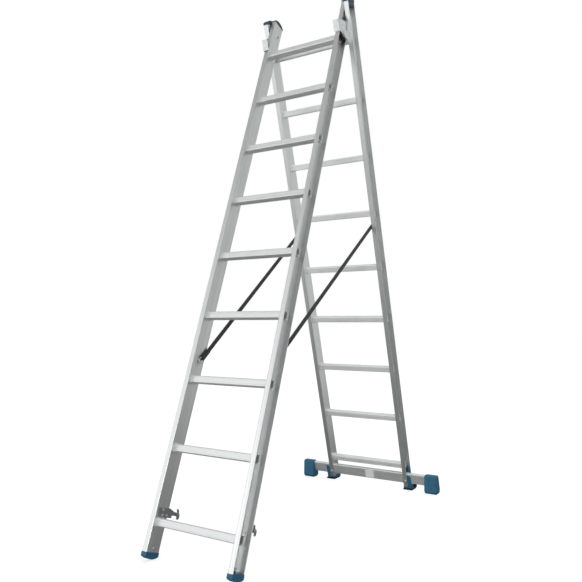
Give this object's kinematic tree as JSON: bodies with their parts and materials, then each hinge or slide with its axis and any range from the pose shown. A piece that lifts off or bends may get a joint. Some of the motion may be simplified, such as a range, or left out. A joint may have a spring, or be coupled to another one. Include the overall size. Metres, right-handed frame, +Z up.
{
  "type": "extension ladder",
  "caption": "Two-section aluminium combination ladder standing as an A-frame, with square rungs, guide brackets, rung hooks, spreader straps and a stabiliser bar.",
  "frame": {"origin": "on the floor, in the middle of the box that the standing A-frame fills", "axes": "+X across the ladder along the rungs, +Y from the fly section back to the base section, +Z up"},
  "size_m": [0.818, 1.6484, 2.4542],
  "materials": {
    "rail_aluminium": "extruded, satin, with fine die lines along the rails",
    "rung_aluminium": "extruded, satin, ribbed",
    "bar_aluminium": "extruded, satin, slightly duller than the rails",
    "bracket_steel": "zinc-plated bent plate",
    "hook_steel": "galvanised plate, greenish grey",
    "fastener_steel": "zinc-plated, domed heads",
    "blue_plastic": "moulded, fine grained, deep teal blue",
    "dark_plastic": "moulded, near-black teal",
    "black_nylon": "moulded nylon, slightly waxy",
    "sole_rubber": "moulded rubber, matt",
    "webbing": "flat woven webbing, black",
    "label_film": "blank adhesive film, semi-gloss"
  },
  "bodies": {
    "base_section": {"base_rail_left": "rail_aluminium", "base_rail_right": "rail_aluminium", "base_rung_1": "rung_aluminium", "base_rung_2": "rung_aluminium", "base_rung_3": "rung_aluminium", "base_rung_4": "rung_aluminium", "base_rung_5": "rung_aluminium", "base_rung_6": "rung_aluminium", "base_rung_7": "rung_aluminium", "base_rung_8": "rung_aluminium", "base_rung_9": "rung_aluminium", "base_top_cap_left": "blue_plastic", "base_top_cap_right": "blue_plastic", "base_foot_left": "blue_plastic", "base_foot_right": "blue_plastic", "base_sole_left": "sole_rubber", "base_sole_right": "sole_rubber", "stabiliser_cap_left": "blue_plastic", "stabiliser_cap_right": "blue_plastic", "guide_bracket_left": "bracket_steel", "guide_bracket_right": "bracket_steel", "bracket_liner_left": "black_nylon", "bracket_liner_right": "black_nylon", "pivot_cheek_left": "bracket_steel", "pivot_cheek_right": "bracket_steel", "strap_left": "webbing", "strap_right": "webbing", "stabiliser_bar": "bar_aluminium", "stabiliser_bolts": "fastener_steel", "bar_label": "label_film", "bracket_rivets": "fastener_steel", "strap_anchors": "fastener_steel"},
    "hinge_carriage": {"pivot_shoe_left": "black_nylon", "pivot_shoe_right": "black_nylon"},
    "fly_section": {"fly_rail_left": "rail_aluminium", "fly_rail_right": "rail_aluminium", "fly_rung_1": "rung_aluminium", "fly_rung_2": "rung_aluminium", "fly_rung_3": "rung_aluminium", "fly_rung_4": "rung_aluminium", "fly_rung_5": "rung_aluminium", "fly_rung_6": "rung_aluminium", "fly_rung_7": "rung_aluminium", "fly_rung_8": "rung_aluminium", "fly_rung_9": "rung_aluminium", "fly_top_cap_left": "dark_plastic", "fly_top_cap_right": "dark_plastic", "fly_foot_left": "blue_plastic", "fly_foot_right": "blue_plastic", "hook_left": "hook_steel", "hook_right": "hook_steel", "foot_rivets": "fastener_steel", "hook_rivets": "fastener_steel", "latch_pins": "fastener_steel", "strap_eyes": "fastener_steel", "strap_rings": "fastener_steel", "stop_bolts": "fastener_steel"},
    "latch_left": {"hook_latch_left": "hook_steel"},
    "latch_right": {"hook_latch_right": "hook_steel"}
  },
  "joints": [
    {"name": "fold", "type": "hinge", "parent": "base_section", "child": "hinge_carriage", "pos_m": [0, -0.00919, 2.2685], "axis": [1, 0, 0], "range_deg": [0, 36.7], "deforming": ["strap_left", "strap_right"]},
    {"name": "extend", "type": "slide", "parent": "hinge_carriage", "child": "fly_section", "axis": [0, 0.3272, 0.9449], "range_m": [-0.014, 1.666]},
    {"name": "latch_left_swing", "type": "hinge", "parent": "fly_section", "child": "latch_left", "pos_m": [-0.183, -0.6582, 0.13756], "axis": [1, 0, 0], "range_deg": [0, 22], "stiffness_Nm_per_rad": 0.05},
    {"name": "latch_right_swing", "type": "hinge", "parent": "fly_section", "child": "latch_right", "pos_m": [0.183, -0.6582, 0.13756], "axis": [1, 0, 0], "range_deg": [0, 22], "stiffness_Nm_per_rad": 0.05}
  ]
}
